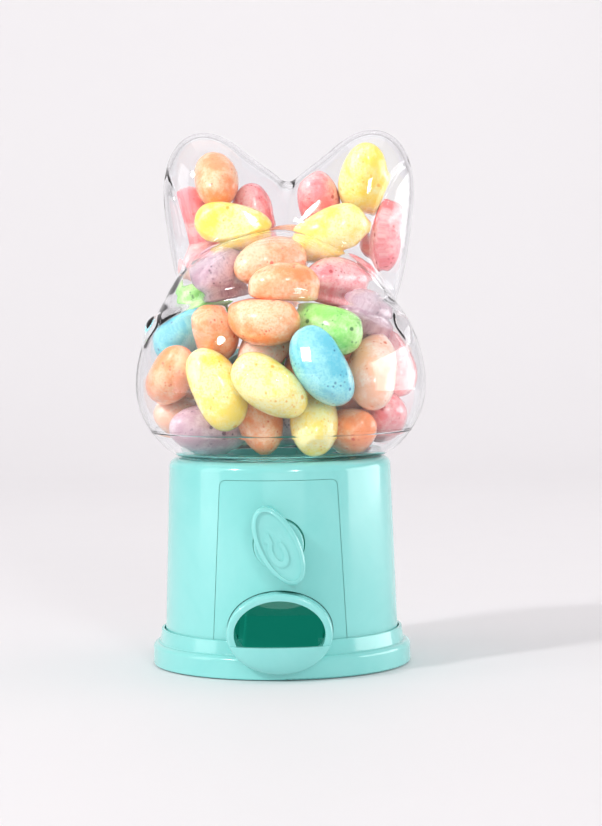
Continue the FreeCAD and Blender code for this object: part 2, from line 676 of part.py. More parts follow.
def wall_depth(point, space):
    """(signed distance outside one ellipsoid, outward direction), both in the row's frame."""
    centre, halves, lean = space
    local = turn(point, UP, -GLOBE_YAW) - centre
    local = turn(local, ACROSS, -lean)
    if centre.z == CHEEK_Z and local.z < 0:
        halves = [halves[0], halves[1], CHEEK_DOWN - GLOBE_WALL - WALL_SPACING]
    scaled = math.sqrt(sum((local[i] / halves[i]) ** 2 for i in range(3)))
    slope = Vector(*[local[i] / halves[i] ** 2 for i in range(3)])
    if slope.Length < 1e-9:
        return -min(halves), UP
    outward = turn(turn(slope.normalize(), ACROSS, lean), UP, GLOBE_YAW)
    gradient = math.sqrt(sum((local[i] / halves[i] ** 2) ** 2 for i in range(3)))
    return scaled * (scaled - 1) / gradient, outward


def nearest_wall(candy, share, spaces):
    """(depth, outward direction) at a share of the way between the candy's ends."""
    point = candy.ends[0] * (1 - share) + candy.ends[1] * share
    return min((wall_depth(point, space) for space in spaces), key=lambda found: found[0])


def keep_inside(candy, spaces, floor):
    for share in (0.0, 1.0, 0.25, 0.75, 0.5):
        depth, outward = nearest_wall(candy, share, spaces)
        if depth > -candy.radius:
            candy.move(share, outward * (-candy.radius - depth))
        lowest = min(candy.ends, key=lambda end: end.z).z - candy.radius
        if lowest < floor:
            for k in range(2):
                candy.ends[k] = candy.ends[k] + Vector(0, 0, floor - lowest)


def settle(candies, spaces, floor, rounds, hold):
    """Push overlapping candies apart, pull placed ones home, let the others sink.

    Seen from the front a placed candy keeps its place; it gives way mostly in depth.
    """
    for _ in range(rounds):
        for candy in candies:
            for k in range(2):
                away = candy.homes[k] - candy.ends[k]
                pull = Vector(away.x, 0.1 * away.y, away.z) * candy.firmness
                if candy.firmness == LOOSE:
                    pull = Vector(0, 0, -0.4)
                candy.ends[k] = candy.ends[k] + pull * hold
            candy.restore_length()
        for first, second in itertools.combinations(candies, 2):
            if (first.centre() - second.centre()).Length > CANDY_LENGTH * 1.3:
                continue
            gap, away, s, t = bar_gap(first, second)
            if gap < CANDY_SPACING:
                push = (CANDY_SPACING - gap) * 1.04 / (first.firmness + second.firmness)
                first.move(s, away * (push * second.firmness))
                second.move(t, away * (-push * first.firmness))
        for candy in candies:
            keep_inside(candy, spaces, floor)


# How strongly a candy keeps its place: in full view, half hidden by others, or not placed at all
FIRM, HALF, LOOSE = 1.0, 0.6, 0.3

# Candies that show at the front of the globe, placed by hand:
# (colour, centre, direction of the long axis, size, firmness)
FRONT_CANDIES = [
    ("orange", (-17, 9, 127), (0.1, 1, 0.3), 0.97, FIRM),
    ("pink", (-25, 11, 115), (0.2, 1, 0.1), 0.93, HALF),
    ("pink", (-6, 15, 121), (0.6, 0.5, -0.6), 0.95, HALF),
    ("yellow", (-13, 2, 116.5), (1, 0.2, 0.05), 1.0, FIRM),
    ("orange", (2, 13, 111), (0.2, 0.8, 0.5), 0.9, HALF),
    ("pink", (11, 14, 125), (0.2, 1, 0.1), 0.9, HALF),
    ("yellow", (21.5, 7, 128), (0.1, 0, 1), 1.03, FIRM),
    ("yellow", (14, 0, 114.5), (0.8, 0, 0.6), 1.05, FIRM),
    ("pink", (26, 9, 113), (0.1, 0.3, 1), 0.97, HALF),
    ("pink", (-20, 4, 104), (0.3, 0.5, -1), 0.97, HALF),
    ("lilac", (-14.5, -11, 102), (0.75, -0.1, 0.6), 1.05, FIRM),
    ("orange", (-1.5, -12, 105), (0.9, 0.3, 0.35), 0.97, FIRM),
    ("orange", (2, -19, 98), (1, 0.1, 0.25), 0.9, HALF),
    ("pink", (15.5, -8, 102), (0.9, 0.1, -0.4), 1.05, FIRM),
    ("green", (-23, 0, 94), (0.4, 0.6, -0.8), 0.93, HALF),
    ("lilac", (22.5, -11, 91.5), (0.75, 0.4, -0.6), 1.03, FIRM),
    ("blue", (-25, -10, 89), (0.4, -0.5, 0.7), 0.95, FIRM),
    ("blue", (-29, -4, 80), (0.5, -0.4, 0.8), 0.95, HALF),
    ("orange", (-17, -19, 86), (0.2, 0.8, -0.8), 0.95, FIRM),
    ("orange", (-2, -21, 90.5), (1, 0.05, 0.1), 0.95, FIRM),
    ("peach", (-6, -16, 83), (0.9, 0.4, 0.1), 0.97, HALF),
    ("green", (12, -20, 87), (0.9, 0, -0.4), 1.05, FIRM),
    ("blue", (9.5, -26, 79), (0.5, 0, -0.85), 1.08, FIRM),
    ("yellow", (-15.5, -22, 72), (0.4, 0, -0.9), 1.08, FIRM),
    ("yellow", (-2.5, -26, 72.5), (0.85, 0.1, -0.5), 1.05, FIRM),
    ("orange", (-26, -12, 77), (0.8, -0.6, 0.1), 0.95, HALF),
    ("orange", (-30, 2, 70), (0.2, 0.6, -1), 0.95, HALF),
    ("peach", (24, -16, 75), (0.2, 0.3, 1), 1.05, FIRM),
    ("pink", (31, -2, 77), (0.1, 0.6, 1), 0.97, HALF),
    ("yellow", (11, -22, 64.5), (0.1, 0.1, -1), 1.0, FIRM),
    ("peach", (20, -12, 66), (0.2, 0.6, 1), 0.95, HALF),
    ("pink", (27, -8, 65), (0.6, 0.5, -0.4), 1.0, HALF),
    ("lilac", (-17.5, -17, 62), (1, 0.2, -0.1), 1.08, FIRM),
    ("orange", (-2, -17, 64), (0.3, 0.5, -0.9), 1.0, HALF),
    ("peach", (-27, -2, 62), (0.5, 0.8, -0.2), 0.97, HALF),
    ("lilac", (3, -12, 61), (1, 0.5, 0), 1.0, HALF),
    ("orange", (15.5, -15, 61), (1, 0.3, 0), 0.95, HALF),
    ("pink", (25, 6, 61), (0.4, 0.9, 0.1), 0.97, HALF),
]
COLOURS = ("yellow", "orange", "peach", "pink", "lilac", "blue", "green")
FILL_STEP = (15.0, 15.0, 14.0)
FLOOR = GLOBE_BOTTOM + GLOBE_WALL + WALL_SPACING


def fill_candies(spaces, placed):
    """More candies on a staggered grid wherever the cavity still has room."""
    chance = random.Random(7)
    added = []
    level = 0
    z = FLOOR + CANDY_RADIUS
    while z < 136:
        shift = (level % 2) * 0.5
        for i in range(-3, 4):
            for j in range(-3, 4):
                centre = Vector((i + shift) * FILL_STEP[0], (j + shift) * FILL_STEP[1] + 3, z)
                along = (chance.uniform(-1, 1), chance.uniform(-1, 1), chance.uniform(-0.6, 0.6))
                candy = Candy(chance.choice(COLOURS), centre, along, chance.uniform(0.93, 1.0), LOOSE)
                inside = min(wall_depth(centre, s)[0] for s in spaces) < -CANDY_RADIUS * 0.9
                room = all((centre - other.centre()).Length > 13.0 for other in placed)
                if inside and room:
                    added.append(candy)
        z += FILL_STEP[2]
        level += 1
    return added


def settled_candies():
    """All the candies at rest; any that still touch a neighbour are left out."""
    spaces = cavity()
    placed = [Candy(*row) for row in FRONT_CANDIES]
    candies = placed + fill_candies(spaces, placed)
    settle(candies, spaces, FLOOR, 120, 0.12)
    settle(candies, spaces, FLOOR, 160, 0.0)
    kept = []
    for candy in candies:
        clear = all(bar_gap(candy, other)[0] > 0.01 for other in kept)
        inside = all(
            nearest_wall(candy, k / 8, spaces)[0] < 0.1 - candy.radius for k in range(9)
        )
        if clear and inside:
            kept.append(candy)
    return kept


def candy_solid(candy):
    """Oval of revolution: a belly arc between two round ends, inside the settled bar."""
    half, radius = candy.length / 2, candy.radius
    end_radius = 0.8 * radius
    end_centre = half - end_radius
    belly = (end_centre**2 + radius**2 - end_radius**2) / (2 * (radius - end_radius))
    lean = math.asin(end_centre / (belly - end_radius))

    def on_end(side, angle):
        """Point on the round end at an angle from straight up towards the tip."""
        reach = end_centre + end_radius * math.sin(angle)
        return Vector(side * reach, 0, end_radius * math.cos(angle))

    left, right = on_end(-1, lean), on_end(1, lean)
    left_tip, right_tip = Vector(-half, 0, 0), Vector(half, 0, 0)
    halfway = (math.pi / 2 + lean) / 2
    edges = [
        Part.Arc(left, Vector(0, 0, radius), right).toShape(),
        Part.Arc(right, on_end(1, halfway), right_tip).toShape(),
        Part.LineSegment(right_tip, left_tip).toShape(),
        Part.Arc(left_tip, on_end(-1, halfway), left).toShape(),
    ]
    solid = Part.Face(Part.Wire(edges)).revolve(Vector(0, 0, 0), Vector(1, 0, 0), 360)
    along = candy.ends[1] - candy.ends[0]
    solid.Placement = FreeCAD.Placement(candy.centre(), FreeCAD.Rotation(Vector(1, 0, 0), along))
    return solid


def make_candies():
    """One compound for each colour."""
    candies = settled_candies()
    print("candies:", len(candies))
    groups = {}
    for colour in COLOURS:
        same = [candy_solid(candy) for candy in candies if candy.colour == colour]
        groups["candies_" + colour] = Part.Compound(same)
    return groups


# ---- fasteners ---------------------------------------------------------------------------------


def make_tray_screws():
    shank = 8.0
    return Part.Compound([
        screw((x, y, HEAD_RECESS + shank), (0, 0, 1), shank, head_height=0.9) for x, y in TRAY_BOSSES
    ])


def make_drum_screws():
    shank = 7.0
    return Part.Compound([screw((x, y, EAR_Z + shank), (0, 0, 1), shank) for x, y in DECK_BOSSES])


def make_bearing_screws():
    shank = 6.0
    return Part.Compound([
        screw((x, PLATE_REAR - shank, KNOB_Z), (0, -1, 0), shank) for x in (-BEARING_X, BEARING_X)
    ])


# ---- export ------------------------------------------------------------------------------------


def main():
    os.makedirs("parts", exist_ok=True)
    nodes = {
        "base_tray": make_base_tray(),
        "housing": make_housing(),
        "front_panel": make_front_panel(),
        "chute_mouth": make_chute_mouth(),
        "chute_ramp": make_chute_ramp(),
        "hopper_funnel": make_hopper_funnel(),
        "wheel_drum": make_wheel_drum(),
        "rear_bearing": make_rear_bearing(),
        "tray_screws": make_tray_screws(),
        "drum_screws": make_drum_screws(),
        "bearing_screws": make_bearing_screws(),
        "knob": make_knob(),
        "drive_shaft": make_drive_shaft(),
        "metering_wheel": make_metering_wheel(),
        "shaft_washer": make_shaft_washer(),
        "shaft_screw": make_shaft_screw(),
        **make_globe(),
        **make_candies(),
    }
    for name, shape in nodes.items():
        print(name, shape.isValid(), len(shape.Solids), round(shape.Volume, 1))
        shape.exportStep("parts/" + name + ".step")


main()
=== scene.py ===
import json
import math

import bmesh
import bpy
import numpy as np
from mathutils import Matrix, Vector


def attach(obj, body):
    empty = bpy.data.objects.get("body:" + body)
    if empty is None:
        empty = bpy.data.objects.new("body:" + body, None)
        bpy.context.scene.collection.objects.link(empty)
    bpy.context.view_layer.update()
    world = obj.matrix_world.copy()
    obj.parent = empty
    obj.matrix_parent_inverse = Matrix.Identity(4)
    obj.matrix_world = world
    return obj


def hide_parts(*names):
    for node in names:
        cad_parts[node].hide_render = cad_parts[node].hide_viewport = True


# The looks of a small gumball machine: a clear animal-head globe full of speckled jelly beans on a
# glossy mint base. Lengths are in metres in the CAD frame, except that the head's form and every
# name that ends in _MM are in millimetres.

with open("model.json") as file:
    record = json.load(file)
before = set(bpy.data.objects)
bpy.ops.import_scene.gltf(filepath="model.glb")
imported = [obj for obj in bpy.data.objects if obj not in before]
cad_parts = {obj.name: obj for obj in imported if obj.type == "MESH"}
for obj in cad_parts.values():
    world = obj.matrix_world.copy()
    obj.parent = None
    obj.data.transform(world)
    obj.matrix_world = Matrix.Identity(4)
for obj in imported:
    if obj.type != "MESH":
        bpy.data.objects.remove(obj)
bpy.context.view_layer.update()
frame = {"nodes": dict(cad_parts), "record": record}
MM = 0.001

# ---- the head's form, as the CAD has it ----------------------------------------------------------

GLOBE_YAW = math.radians(-5.5)
GLOBE_WALL_MM = 1.3
GLOBE_BOTTOM_MM = 54.5
BOTTOM_ROUNDING_MM = 2.4
SEAM_Z_MM = 61.0
NECK_RADIUS_MM = 21.4
NECK_WALL_MM = 1.2
NECK_BOTTOM_MM = 50.4
LUG_RADIUS_MM = 22.7
LUG_HEIGHTS_MM = (50.5, 52.2)
LUG_HALF_ANGLE = math.radians(13)
CHEEK_CENTRE = (0.5, 0.0, 73.0)
CHEEK_HALVES = (38.3, 34.0)
CHEEK_UP, CHEEK_DOWN = 36.0, 27.0
FOREHEAD = ((0, 0, 90.5), (30.0, 27.0, 24.0), 0)
EAR_X, EAR_Y = 2.3, 7.5
SIDES = (-1, 1)
EAR_ROOTS = [((EAR_X + side * 9.4, EAR_Y, 103.0), (20.5, 14.0, 31.0), side * 20.2) for side in SIDES]
EAR_TIPS = [((EAR_X + side * 15.9, EAR_Y, 113.9), (15.4, 13.5, 27.4), side * 21.4) for side in SIDES]
EYE_Z_MM = 87.2
EYE_ANGLE = math.radians(77)
EYE_RADIUS_MM = 33.2
EYE_HALVES = (2.6, 3.4, 4.2)
NOSE = ((0.5, -33.6, 74.8), (5.8, 2.0, 3.3), 0)

# How softly the head's masses run into each other, and the marks of its moulding. The grooves are
# only in the looks: they bend light roughly as the real wall's uneven places do.

BROW_FILLET_MM, BROW_FILLET_INSIDE_MM = 2.2, 1.0
EAR_FILLET_MM = 3.0
CROWN_FILLET_MM = 2.2
EYE_FILLET_MM = 2.0
NOSE_FILLET_MM = 0.6
EAR_GROOVE_DEPTH_MM, EAR_GROOVE_WIDTH_MM = 0.9, 1.3
BROW_GROOVE_DEPTH_MM, BROW_GROOVE_WIDTH_MM = 1.2, 1.7
GROOVE_SHARE_INSIDE = 0.45
SEAM_RIDGE_MM = 0.07
HEAD_VOXEL_MM = 0.6
SHARP_EDGE = math.radians(55)

# ---- small helpers -------------------------------------------------------------------------------


def rotation_z(angle):
    c, s = math.cos(angle), math.sin(angle)
    return np.array([[c, -s, 0], [s, c, 0], [0, 0, 1]])


def rotation_y(angle):
    c, s = math.cos(angle), math.sin(angle)
    return np.array([[c, 0, s], [0, 1, 0], [-s, 0, c]])


def mesh_object(name, points, faces, material):
    mesh = bpy.data.meshes.new(name)
    mesh.from_pydata([tuple(p) for p in points], [], [tuple(f) for f in faces])
    mesh.update()
    mesh.shade_smooth()
    obj = bpy.data.objects.new(name, mesh)
    bpy.context.scene.collection.objects.link(obj)
    obj.data.materials.append(material)
    return obj


def coordinates(mesh):
    points = np.zeros(len(mesh.vertices) * 3)
    mesh.vertices.foreach_get("co", points)
    return points.reshape(-1, 3)


def edge_pairs(mesh):
    pairs = np.zeros(len(mesh.edges) * 2, int)
    mesh.edges.foreach_get("vertices", pairs)
    return pairs.reshape(-1, 2)


# ---- materials -----------------------------------------------------------------------------------

BASE_BORE = 0.0291          # nearer the axis than this, and below the deck, the base's inside gets painted shade and a painted glow
DECK_UNDERSIDE = 0.0523
PAINTED_GLOW_STRENGTH = 0.55           # strength of the painted glow on the base's inside, standing in for light through its thin walls


class Nodes:
    """A material and short ways to add and join its nodes."""

    def __init__(self, name):
        self.material = bpy.data.materials.new(name)
        self.material.use_nodes = True
        self.tree = self.material.node_tree
        self.tree.nodes.clear()
        self.output = self.add("ShaderNodeOutputMaterial")

    def add(self, kind, **values):
        node = self.tree.nodes.new(kind)
        for key, value in values.items():
            setattr(node, key, value)
        return node

    def join(self, source, target):
        self.tree.links.new(source, target)

    def principled(self, **values):
        shader = self.add("ShaderNodeBsdfPrincipled")
        for key, value in values.items():
            shader.inputs[key.replace("_", " ")].default_value = value
        return shader

    def place(self):
        return self.add("ShaderNodeTexCoord").outputs["Object"]

    def noise(self, vector, scale, detail=3.0, roughness=0.5, distortion=0.0):
        node = self.add("ShaderNodeTexNoise")
        node.inputs["Scale"].default_value = scale
        node.inputs["Detail"].default_value = detail
        node.inputs["Roughness"].default_value = roughness
        node.inputs["Distortion"].default_value = distortion
        self.join(vector, node.inputs["Vector"])
        return node.outputs["Fac"]

    def ramp(self, value, low, high):
        """0 below low, 1 above high."""
        node = self.add("ShaderNodeValToRGB")
        node.color_ramp.interpolation = "EASE"
        node.color_ramp.elements[0].position = low
        node.color_ramp.elements[1].position = high
        self.join(value, node.inputs["Fac"])
        return node.outputs["Color"]

    def span(self, value, low, high):
        """value from 0 to 1 becomes low to high."""
        node = self.add("ShaderNodeMapRange")
        node.inputs["To Min"].default_value = low
        node.inputs["To Max"].default_value = high
        self.join(value, node.inputs["Value"])
        return node.outputs["Result"]

    def maths(self, operation, a, b):
        node = self.add("ShaderNodeMath", operation=operation)
        for socket, value in zip(node.inputs, (a, b)):
            if isinstance(value, (int, float)):
                socket.default_value = value
            else:
                self.join(value, socket)
        return node.outputs["Value"]

    def mix(self, share, a, b):
        """Colour a where share is 0, b where it is 1."""
        node = self.add("ShaderNodeMix", data_type="RGBA")
        self.join(share, node.inputs["Factor"])
        for socket, value in ((node.inputs[6], a), (node.inputs[7], b)):
            if isinstance(value, tuple):
                socket.default_value = (*value, 1.0)
            else:
                self.join(value, socket)
        return node.outputs[2]

    def bump(self, height, strength, distance):
        node = self.add("ShaderNodeBump")
        node.inputs["Strength"].default_value = strength
        node.inputs["Distance"].default_value = distance
        self.join(height, node.inputs["Height"])
        return node.outputs["Normal"]

    def finish(self, shader):
        self.join(shader.outputs[0], self.output.inputs["Surface"])
        return self.material


def srgb(red, green, blue):
    """Linear colour from 0-255 screen values."""
    def linear(value):
        value /= 255
        return value / 12.92 if value <= 0.04045 else ((value + 0.055) / 1.055) ** 2.4

    return linear(red), linear(green), linear(blue)


def moulded_plastic(name, colour, deep, inner=None, painted_shade_radius=None):
    """Glossy moulded plastic: slight flow streaks in its colour and a fine uneven gloss.

    inner, if given, is a painted shade colour laid over the base colour and also shown as a painted
    glow, standing in for shade and for light through the wall: everywhere on the piece, or only below
    the deck and within the given radius of the machine's axis.
    """
    n = Nodes(name)
    place = n.place()
    shader = n.principled(
        Subsurface_Weight=0.08,
        Subsurface_Radius=(0.6, 1.0, 1.0),
        Subsurface_Scale=0.0010,
        Specular_IOR_Level=0.5,
        Coat_Weight=0.4,
        Coat_Roughness=0.05,
        IOR=1.5,
    )
    streaks = n.noise(place, 38.0, detail=4.0, roughness=0.6, distortion=0.8)
    tone = n.mix(n.ramp(streaks, 0.3, 0.75), colour, deep)
    # Painted shade and painted glow: where inner applies, the colour turns to the dark teal and that
    # colour glows.
    if inner is not None:
        share = n.span(streaks, 0.9, 1.0)
        if painted_shade_radius is not None:
            level = n.add("ShaderNodeVectorMath", operation="MULTIPLY")
            n.join(place, level.inputs[0])
            level.inputs[1].default_value = (1.0, 1.0, 0.0)
            length = n.add("ShaderNodeVectorMath", operation="LENGTH")
            n.join(level.outputs["Vector"], length.inputs[0])
            height = n.add("ShaderNodeSeparateXYZ")
            n.join(place, height.inputs[0])
            within = n.maths("LESS_THAN", length.outputs["Value"], painted_shade_radius)
            below = n.maths("LESS_THAN", height.outputs["Z"], DECK_UNDERSIDE)
            share = n.maths("MULTIPLY", share, within)
            share = n.maths("MULTIPLY", share, below)
        painted_glow_colour = n.mix(share, (0.0, 0.0, 0.0), inner)
        tone = n.mix(share, tone, inner)
        n.join(painted_glow_colour, shader.inputs["Emission Color"])
        shader.inputs["Emission Strength"].default_value = PAINTED_GLOW_STRENGTH
    n.join(tone, shader.inputs["Base Color"])
    gloss = n.noise(place, 160.0, detail=5.0)
    n.join(n.span(gloss, 0.12, 0.22), shader.inputs["Roughness"])
    skin = n.noise(place, 900.0, detail=2.0)
    n.join(n.bump(skin, 0.03, 0.0001), shader.inputs["Normal"])
    return n.finish(shader)


def clear_plastic(name):
    """Clear polystyrene with faint moulding waves; lamps shine through it onto what it holds."""
    n = Nodes(name)
    place = n.place()
    shader = n.principled(
        Base_Color=(0.985, 0.99, 1.0, 1.0),
        Transmission_Weight=1.0,
        IOR=1.43,
    )
    haze = n.noise(place, 120.0, detail=3.0)
    n.join(n.span(n.ramp(haze, 0.45, 0.85), 0.0, 0.035), shader.inputs["Roughness"])
    waves = n.noise(place, 75.0, detail=1.0, distortion=0.6)
    n.join(n.bump(waves, 0.10, 0.0006), shader.inputs["Normal"])
    clear = n.add("ShaderNodeBsdfTransparent")
    clear.inputs["Color"].default_value = (0.97, 0.98, 0.99, 1.0)
    lamp = n.add("ShaderNodeLightPath").outputs["Is Shadow Ray"]
    mixed = n.add("ShaderNodeMixShader")
    n.join(lamp, mixed.inputs["Fac"])
    n.join(shader.outputs[0], mixed.inputs[1])
    n.join(clear.outputs[0], mixed.inputs[2])
    return n.finish(mixed)


def plated_steel(name):
    n = Nodes(name)
    place = n.place()
    shader = n.principled(Metallic=1.0)
    tone = n.noise(place, 500.0, detail=4.0)
    colour = n.mix(n.ramp(tone, 0.3, 0.7), (0.50, 0.50, 0.52), (0.66, 0.66, 0.68))
    n.join(colour, shader.inputs["Base Color"])
    n.join(n.span(tone, 0.22, 0.42), shader.inputs["Roughness"])
    n.join(n.bump(n.noise(place, 2500.0), 0.08, 0.00005), shader.inputs["Normal"])
    return n.finish(shader)


def bean_candy(name, pale, rich, speck):
    """Polished jelly bean: mottled, with fine freckles and a few larger dots, a little translucent."""
    n = Nodes(name)
    own = n.add("ShaderNodeAttribute", attribute_name="bean_shift").outputs["Vector"]
    moved = n.add("ShaderNodeVectorMath", operation="ADD")
    n.join(n.place(), moved.inputs[0])
    n.join(own, moved.inputs[1])
    place = moved.outputs["Vector"]
    shader = n.principled(
        Subsurface_Weight=0.15,
        Subsurface_Radius=(1.0, 0.75, 0.6),
        Subsurface_Scale=0.0012,
        Coat_Weight=0.8,
        Coat_Roughness=0.03,
        IOR=1.48,
    )
    clouds = n.ramp(n.noise(place, 120.0, detail=5.0, roughness=0.68), 0.40, 0.62)
    colour = n.mix(n.maths("MULTIPLY", clouds, 0.9), pale, rich)
    grain = n.ramp(n.noise(place, 1500.0, detail=3.0, roughness=0.7), 0.46, 0.64)
    colour = n.mix(n.maths("MULTIPLY", grain, 0.5), colour, rich)
    freckles = n.add("ShaderNodeTexVoronoi")
    freckles.inputs["Scale"].default_value = 850.0
    n.join(place, freckles.inputs["Vector"])
    patches = n.ramp(n.noise(place, 230.0, detail=2.0), 0.50, 0.64)
    small = n.maths("SUBTRACT", 1.0, n.ramp(freckles.outputs["Distance"], 0.12, 0.34))
    small = n.maths("MULTIPLY", small, patches)
    colour = n.mix(n.maths("MULTIPLY", small, 0.7), colour, speck)
    dots = n.add("ShaderNodeTexVoronoi")
    dots.inputs["Scale"].default_value = 260.0
    n.join(place, dots.inputs["Vector"])
    chosen = n.add("ShaderNodeSeparateColor")
    n.join(dots.outputs["Color"], chosen.inputs[0])
    spot = n.maths("SUBTRACT", 1.0, n.ramp(dots.outputs["Distance"], 0.10, 0.19))
    spot = n.maths("MULTIPLY", spot, n.maths("GREATER_THAN", chosen.outputs[0], 0.6))
    colour = n.mix(n.maths("MULTIPLY", spot, 0.8), colour, speck)
    n.join(colour, shader.inputs["Base Color"])
    n.join(n.span(n.noise(place, 300.0), 0.14, 0.30), shader.inputs["Roughness"])
    lumps = n.noise(place, 620.0, detail=2.0)
    n.join(n.bump(lumps, 0.10, 0.0002), shader.inputs["Normal"])
    return n.finish(shader)


# pale, rich and freckle colour of each kind of bean
CANDY_TONES = {
    "yellow": (srgb(248, 240, 176), srgb(250, 218, 66), srgb(244, 170, 26)),
    "orange": (srgb(252, 202, 164), srgb(249, 138, 72), srgb(224, 56, 18)),
    "peach": (srgb(252, 226, 210), srgb(250, 182, 146), srgb(228, 96, 60)),
    "pink": (srgb(250, 196, 196), srgb(238, 116, 124), srgb(184, 26, 44)),
    "lilac": (srgb(222, 198, 206), srgb(182, 142, 158), srgb(76, 52, 78)),
    "blue": (srgb(152, 224, 228), srgb(92, 192, 214), srgb(8, 72, 136)),
    "green": (srgb(204, 240, 168), srgb(132, 216, 92), srgb(22, 104, 36)),
}

MINT = srgb(142, 219, 215), srgb(132, 214, 210)
# Painted shade: the dark teal that the base's inside is painted in, and glows with, in place of its
# shade and light.
PAINTED_SHADE_MINT = srgb(16, 125, 107)
mint = moulded_plastic("mint plastic", *MINT)
mint_shell_painted_shade = moulded_plastic("mint plastic shell", *MINT, inner=PAINTED_SHADE_MINT, painted_shade_radius=BASE_BORE)
mint_painted_shade = moulded_plastic("mint plastic inside", *MINT, inner=PAINTED_SHADE_MINT)
white = moulded_plastic("white plastic", srgb(238, 238, 232), srgb(226, 227, 222))
clear = clear_plastic("clear plastic")
steel = plated_steel("plated steel")
candy = {colour: bean_candy("candy " + colour, *tones) for colour, tones in CANDY_TONES.items()}

SLOT_MATERIALS = {
    "mint_plastic": mint,
    "white_plastic": white,
    "clear_plastic": clear,
    "steel": steel,
}
# Parts seen inside the base's mouth get painted dark shade with a painted glow; the housing and funnel
# get it only near the axis below the deck.
SHADE_PAINTED_NODES = ("chute_ramp", "wheel_drum", "rear_bearing", "metering_wheel")
SHADE_PAINTED_BORE_NODES = ("housing", "hopper_funnel")


def dress_cad_nodes():
    """Every CAD node gets the material of its record slot; the parts inside the base, and the housing
    and funnel near the axis below the deck, get painted shade and a painted glow instead.
    """
    slots = {row["node"]: row["material_slot"] for row in frame["record"]["subparts"]}
    for name, obj in frame["nodes"].items():
        material = SLOT_MATERIALS.get(slots[name])
        if material is None:
            material = candy[slots[name].replace("candy_", "")]
        if name in SHADE_PAINTED_NODES:
            material = mint_painted_shade
        if name in SHADE_PAINTED_BORE_NODES:
            material = mint_shell_painted_shade
        obj.data.materials.clear()
        obj.data.materials.append(material)


# ---- globe ---------------------------------------------------------------------------------------


def ellipsoid(points, mass, inset=0.0):
    """Signed distance to an ellipsoid whose half sizes shrink by inset, exact near its surface."""
    centre, halves, lean = mass
    local = (points - np.array(centre)) @ rotation_y(math.radians(lean))
    halves = np.array(halves) - inset
    scaled = np.linalg.norm(local / halves, axis=1)
    steepness = np.linalg.norm(local / halves**2, axis=1)
    return scaled * (scaled - 1) / np.maximum(steepness, 1e-9)


def cheeks(points, inset):
    upper = ellipsoid(points, (CHEEK_CENTRE, (*CHEEK_HALVES, CHEEK_UP), 0), inset)
    lower = ellipsoid(points, (CHEEK_CENTRE, (*CHEEK_HALVES, CHEEK_DOWN), 0), inset)
    return np.where(points[:, 2] > CHEEK_CENTRE[2], upper, lower)


def joined(a, b, softness):
    """Union of two fields with a small fillet where they cross."""
    overlap = np.maximum(softness - np.abs(a - b), 0) / softness
    return np.minimum(a, b) - overlap**2 * softness / 4


def ear_groove(points):
    """Depth of the shallow groove that runs down the front of each ear, a little inside its edge."""
    height = points[:, 2]
    across = np.abs(points[:, 0] - EAR_X + 1.0)
    reach = 24.7 + 0.017 * (height - 110.0) ** 2
    ends = np.clip((height - 97.0) / 6.0, 0, 1) * np.clip((133.0 - height) / 8.0, 0, 1)
    front = np.clip((EAR_Y - points[:, 1]) / 3.0, 0, 1)
    section = np.exp(-(((across - reach) / EAR_GROOVE_WIDTH_MM) ** 2))
    return EAR_GROOVE_DEPTH_MM * section * ends * front


def brow_groove(points):
    """Depth of the crease across the front of the head, between the forehead and the cheeks."""
    middle = 96.5 - 0.008 * points[:, 0] ** 2
    front = np.clip((-10.0 - points[:, 1]) / 8.0, 0, 1)
    section = np.exp(-(((points[:, 2] - middle) / BROW_GROOVE_WIDTH_MM) ** 2))
    return BROW_GROOVE_DEPTH_MM * section * front


def head_wall(points, inset):
    """The head's surface, or its inner wall when inset is the wall's thickness.

    The eyes and the nose are solid bumps, so the inner wall has none.
    """
    brow_fillet = BROW_FILLET_INSIDE_MM if inset else BROW_FILLET_MM
    ears = []
    for root, tip in zip(EAR_ROOTS, EAR_TIPS):
        ear = joined(ellipsoid(points, root, inset), ellipsoid(points, tip, inset), EAR_FILLET_MM)
        ears.append(ear)
    crown = joined(ears[0], ears[1], EAR_FILLET_MM)
    face = joined(cheeks(points, inset), ellipsoid(points, FOREHEAD, inset), brow_fillet)
    field = joined(face, crown, CROWN_FILLET_MM)
    grooves = ear_groove(points) + brow_groove(points)
    field = field + grooves * (GROOVE_SHARE_INSIDE if inset else 1.0)
    if inset:
        return field
    for side in SIDES:
        around = -math.pi / 2 + side * EYE_ANGLE
        local = (points - np.array([CHEEK_CENTRE[0], 0, EYE_Z_MM])) @ rotation_z(around)
        eye = ellipsoid(local, ((EYE_RADIUS_MM, 0, 0), EYE_HALVES, 0))
        field = joined(field, eye, EYE_FILLET_MM)
    return joined(field, ellipsoid(points, NOSE), NOSE_FILLET_MM)


def head_outside(points):
    return head_wall(points, 0.0)


def head_inside(points):
    return head_wall(points, GLOBE_WALL_MM)


def slope_of(field, points):
    step = 0.02
    slope = np.zeros_like(points)
    for axis in range(3):
        shift = np.zeros(3)
        shift[axis] = step
        slope[:, axis] = (field(points + shift) - field(points - shift)) / (2 * step)
    return slope


def onto(field, points, fixed_height=None, rounds=4):
    """Points moved onto the field's zero surface; those in fixed_height only move level."""
    for _ in range(rounds):
        slope = slope_of(field, points)
        if fixed_height is not None:
            slope[fixed_height, 2] = 0
        steep = np.maximum((slope**2).sum(1), 1e-6)
        points = points - (field(points) / steep)[:, None] * slope
    return points


def relaxed(points, pairs, fixed, share=0.5):
    """Each point moves part of the way to the mean of its neighbours."""
    total = np.zeros_like(points)
    count = np.zeros(len(points))
    for a, b in ((0, 1), (1, 0)):
        np.add.at(total, pairs[:, a], points[pairs[:, b]])
        np.add.at(count, pairs[:, a], 1)
    mean = total / np.maximum(count, 1)[:, None]
    mean[fixed] = points[fixed]
    return points + (mean - points) * share


